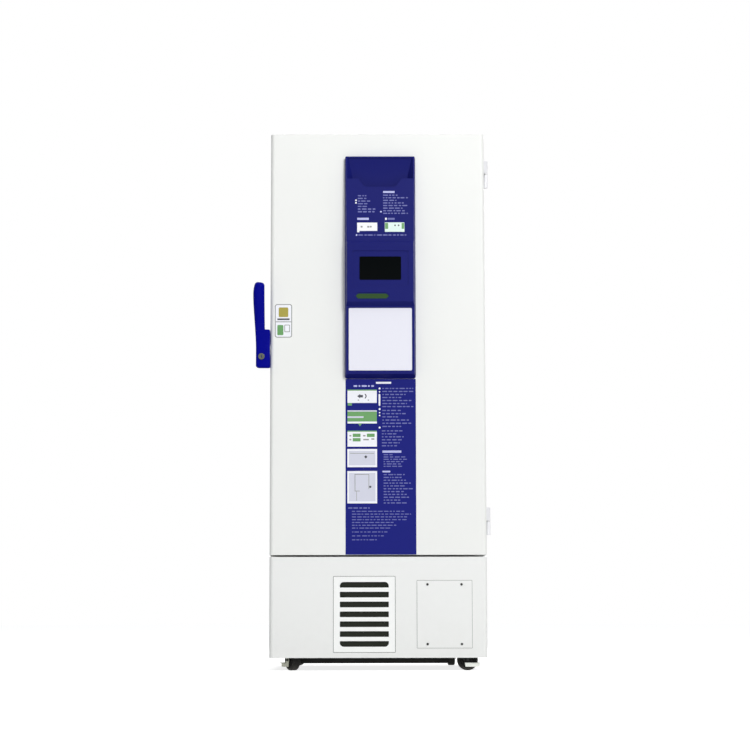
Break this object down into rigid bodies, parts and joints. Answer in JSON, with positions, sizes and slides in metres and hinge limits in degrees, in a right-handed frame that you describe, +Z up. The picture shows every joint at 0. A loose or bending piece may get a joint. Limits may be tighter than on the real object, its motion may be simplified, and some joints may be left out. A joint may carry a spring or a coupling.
{
  "type": "ultra low temperature freezer",
  "caption": "Upright laboratory freezer with a thick foamed door, side lever handle, front fascia, inner doors, shelves and a refrigeration deck on casters.",
  "frame": {"origin": "middle of the whole freezer's footprint on the floor, handle, hinges and rear buffers included", "axes": "+Z up, -Y out of the door, +X towards the hinge side seen from the front"},
  "size_m": [0.861, 1.041, 1.95],
  "materials": {
    "white_paint": "satin white powder paint",
    "black_paint": "satin black paint",
    "foam_core": "rigid foam",
    "liner_steel": "bright sheet",
    "breaker_plastic": "smooth white plastic",
    "shelf_steel": "brushed stainless steel",
    "hinge_zinc": "zinc plated steel",
    "port_plastic": "white plastic",
    "buffer_rubber": "black rubber",
    "filter_foam": "open black filter foam",
    "coil_metal": "thin aluminium fins",
    "fan_plastic": "black plastic",
    "compressor_paint": "gloss black paint",
    "cold_insulation": "black closed cell foam",
    "vessel_paint": "dark paint",
    "copper_tube": "drawn copper",
    "box_steel": "grey paint",
    "inlet_plastic": "black plastic",
    "seal_rubber": "soft grey seal",
    "inner_seal": "soft dark grey seal",
    "fascia_blue": "textured dark blue plastic",
    "screen_black": "black glossy screen",
    "lens_green": "dark green lens",
    "note_white": "white plate",
    "sheet_blue": "printed blue film",
    "handle_blue": "glossy bright blue plastic",
    "lock_chrome": "polished metal",
    "inner_white": "white plastic skin over foam",
    "wheel_black": "black tread",
    "caster_zinc": "zinc plated steel"
  },
  "bodies": {
    "root": {"side_panels": "white_paint", "end_panels": "white_paint", "rear_panel": "white_paint", "wall_foam": "foam_core", "inner_liner": "liner_steel", "breaker_frame": "breaker_plastic", "shelves": "shelf_steel", "shelf_supports": "shelf_steel", "hinge_frame_leaves": "hinge_zinc", "hinge_pins": "hinge_zinc", "inner_pivots": "hinge_zinc", "latch_striker": "hinge_zinc", "access_port_sleeve": "port_plastic", "rear_spacers": "buffer_rubber", "base_frame": "black_paint", "floor_skid": "black_paint", "front_panel": "white_paint", "service_cover": "white_paint", "cover_screws": "black_paint", "filter_pad": "filter_foam", "condenser": "coil_metal", "fan_shroud": "fan_plastic", "compressors": "compressor_paint", "heat_exchanger": "cold_insulation", "oil_vessels": "vessel_paint", "refrigerant_lines": "copper_tube", "control_box": "box_steel", "rear_cover": "white_paint", "power_inlet": "inlet_plastic", "caster_plates": "caster_zinc"},
    "door": {"door_skin": "white_paint", "door_foam": "foam_core", "door_liner": "breaker_plastic", "door_gasket": "seal_rubber", "hinge_door_leaves": "hinge_zinc", "fascia_housing": "fascia_blue", "display_screen": "screen_black", "status_lens": "lens_green", "note_plate": "note_white", "instruction_sheet": "sheet_blue", "handle_bracket": "hinge_zinc"},
    "lever": {"handle_lever": "handle_blue", "latch_hook": "hinge_zinc"},
    "lock": {"lock_cylinder": "lock_chrome"},
    "inner_upper": {"inner_door_upper": "inner_white", "inner_gasket_upper": "inner_seal"},
    "inner_lower": {"inner_door_lower": "inner_white", "inner_gasket_lower": "inner_seal"},
    "fan": {"fan_rotor": "fan_plastic"},
    "grille": {"intake_grille": "white_paint"},
    "fork_front_left": {"fork_front_left": "black_paint"},
    "wheel_front_left": {"wheel_front_left": "wheel_black"},
    "fork_front_right": {"fork_front_right": "black_paint"},
    "wheel_front_right": {"wheel_front_right": "wheel_black"},
    "fork_rear_left": {"fork_rear_left": "black_paint"},
    "wheel_rear_left": {"wheel_rear_left": "wheel_black"},
    "fork_rear_right": {"fork_rear_right": "black_paint"},
    "wheel_rear_right": {"wheel_rear_right": "wheel_black"},
    "pedal_left": {"pedal_left": "caster_zinc"},
    "pedal_right": {"pedal_right": "caster_zinc"}
  },
  "joints": [
    {"name": "door_swing", "type": "hinge", "parent": "root", "child": "door", "pos_m": [0.4225, -0.3545, 1.18], "axis": [0, 0, 1], "range_deg": [0, 110]},
    {"name": "inner_upper_swing", "type": "hinge", "parent": "root", "child": "inner_upper", "pos_m": [0.2585, -0.3365, 1.509], "axis": [0, 0, 1], "range_deg": [0, 88]},
    {"name": "inner_lower_swing", "type": "hinge", "parent": "root", "child": "inner_lower", "pos_m": [0.2585, -0.3365, 0.847], "axis": [0, 0, 1], "range_deg": [0, 88]},
    {"name": "handle_pull", "type": "hinge", "parent": "door", "child": "lever", "pos_m": [-0.3945, -0.4185, 1.155], "axis": [1, 0, 0], "range_deg": [0, 40]},
    {"name": "lock_turn", "type": "hinge", "parent": "lever", "child": "lock", "pos_m": [-0.4005, -0.4685, 1.128], "axis": [0, 1, 0], "range_deg": [0, 90]},
    {"name": "fan_spin", "type": "hinge", "parent": "root", "child": "fan", "pos_m": [-0.0295, -0.3545, 0.2005], "axis": [0, 1, 0], "continuous": true},
    {"name": "grille_pull", "type": "slide", "parent": "root", "child": "grille", "axis": [0, -1, 0], "range_m": [0, 0.08]},
    {"name": "swivel_front_left", "type": "hinge", "parent": "root", "child": "fork_front_left", "pos_m": [-0.2765, -0.3885, 0.09], "axis": [0, 0, 1], "continuous": true},
    {"name": "roll_front_left", "type": "hinge", "parent": "fork_front_left", "child": "wheel_front_left", "pos_m": [-0.2885, -0.36772, 0.0375], "axis": [-0.866, -0.5, 0], "continuous": true},
    {"name": "brake_left", "type": "hinge", "parent": "fork_front_left", "child": "pedal_left", "pos_m": [-0.2885, -0.36772, 0.0375], "axis": [-0.866, -0.5, 0], "range_deg": [0, 15]},
    {"name": "swivel_front_right", "type": "hinge", "parent": "root", "child": "fork_front_right", "pos_m": [0.3175, -0.3885, 0.09], "axis": [0, 0, 1], "continuous": true},
    {"name": "roll_front_right", "type": "hinge", "parent": "fork_front_right", "child": "wheel_front_right", "pos_m": [0.3415, -0.3885, 0.0375], "axis": [0, 1, 0], "continuous": true},
    {"name": "brake_right", "type": "hinge", "parent": "fork_front_right", "child": "pedal_right", "pos_m": [0.3415, -0.3885, 0.0375], "axis": [0, 1, 0], "range_deg": [0, 15]},
    {"name": "swivel_rear_left", "type": "hinge", "parent": "root", "child": "fork_rear_left", "pos_m": [-0.2765, 0.4315, 0.09], "axis": [0, 0, 1], "continuous": true},
    {"name": "roll_rear_left", "type": "hinge", "parent": "fork_rear_left", "child": "wheel_rear_left", "pos_m": [-0.29489, 0.44693, 0.0375], "axis": [-0.6428, -0.766, 0], "continuous": true},
    {"name": "swivel_rear_right", "type": "hinge", "parent": "root", "child": "fork_rear_right", "pos_m": [0.3175, 0.4315, 0.09], "axis": [0, 0, 1], "continuous": true},
    {"name": "roll_rear_right", "type": "hinge", "parent": "fork_rear_right", "child": "wheel_rear_right", "pos_m": [0.3175, 0.4555, 0.0375], "axis": [-1, 0, 0], "continuous": true}
  ],
  "couplings": [
    {"joint": "inner_upper_swing", "follows": "door_swing", "ratio": 0.8},
    {"joint": "inner_lower_swing", "follows": "door_swing", "ratio": 0.8}
  ]
}
